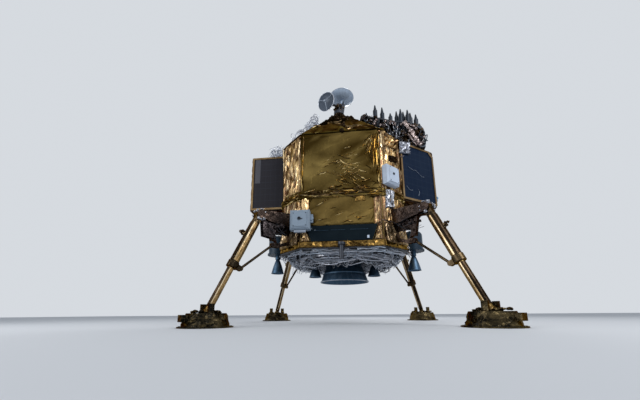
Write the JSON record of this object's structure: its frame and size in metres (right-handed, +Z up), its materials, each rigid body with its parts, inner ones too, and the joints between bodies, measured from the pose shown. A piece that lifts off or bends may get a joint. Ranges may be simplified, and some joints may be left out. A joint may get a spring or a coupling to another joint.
{
  "type": "lunar lander",
  "caption": "Lunar lander: octagonal foil-wrapped body, tapered roof, side solar bays, main engine, splayed legs on footpads and a roof antenna that turns and tilts.",
  "frame": {"origin": "on the floor, under the centre of the main nozzle, midway between the footpads", "axes": "+X to the lander's right as seen from the front, +Y from the front wall to the back wall, +Z up"},
  "size_m": [6.7, 6.6996, 7.8501],
  "materials": {
    "gold_foil": "crinkled gold foil blanket over a panel",
    "dark_foil": "crinkled dark amber foil",
    "amber_foil": "amber foil wrapped on struts",
    "pad_foil": "gold and black foil on a footpad",
    "radiator_black": "satin black",
    "deck_metal": "satin",
    "pipe_steel": "brushed",
    "solar_blue": "glossy dark blue cells",
    "panel_trim": "gold brown edging",
    "nozzle_metal": "dark heat-stained metal",
    "tank_blue": "dark blue, half gloss",
    "white_paint": "white thermal paint",
    "thruster_dark": "dark metal and harness",
    "dish_grey": "pale grey, half gloss"
  },
  "bodies": {
    "lander": {"antenna_mast": "deck_metal", "aprons": "dark_foil", "core_body": "gold_foil", "corner_blankets": "gold_foil", "corner_box_left": "white_paint", "corner_box_right": "white_paint", "drag_struts": "amber_foil", "footpad_back_left": "pad_foil", "footpad_back_right": "pad_foil", "footpad_front_left": "pad_foil", "footpad_front_right": "pad_foil", "front_actuator": "deck_metal", "inner_nozzles": "nozzle_metal", "leg_arm_back_left": "amber_foil", "leg_arm_back_right": "amber_foil", "leg_arm_front_left": "amber_foil", "leg_arm_front_right": "amber_foil", "leg_cylinder_back_left": "amber_foil", "leg_cylinder_back_right": "amber_foil", "leg_cylinder_front_left": "amber_foil", "leg_cylinder_front_right": "amber_foil", "leg_piston_back_left": "amber_foil", "leg_piston_back_right": "amber_foil", "leg_piston_front_left": "amber_foil", "leg_piston_front_right": "amber_foil", "lower_blankets": "gold_foil", "main_engine": "nozzle_metal", "main_nozzle": "nozzle_metal", "pipework": "pipe_steel", "pod_nozzles": "nozzle_metal", "pod_tanks": "tank_blue", "radiators": "radiator_black", "roof": "dark_foil", "roof_loops": "pipe_steel", "roof_rack": "thruster_dark", "side_bays": "dark_foil", "side_thrusters": "nozzle_metal", "sill_band": "amber_foil", "solar_frames": "panel_trim", "solar_panels": "solar_blue", "underside_deck": "deck_metal", "upper_blankets": "gold_foil"},
    "antenna_head": {"antenna_turntable": "deck_metal", "antenna_second_dish": "dish_grey"},
    "antenna_dish_body": {"antenna_dish": "dish_grey"}
  },
  "joints": [
    {"name": "antenna_azimuth", "type": "hinge", "parent": "lander", "child": "antenna_head", "pos_m": [-0.05, 0, 6.88], "axis": [0, 0, 1], "range_deg": [-170, 170]},
    {"name": "antenna_elevation", "type": "hinge", "parent": "antenna_head", "child": "antenna_dish_body", "pos_m": [0.035, 0.14722, 7.41], "axis": [0.866, -0.5, 0], "range_deg": [-67, 6]}
  ]
}
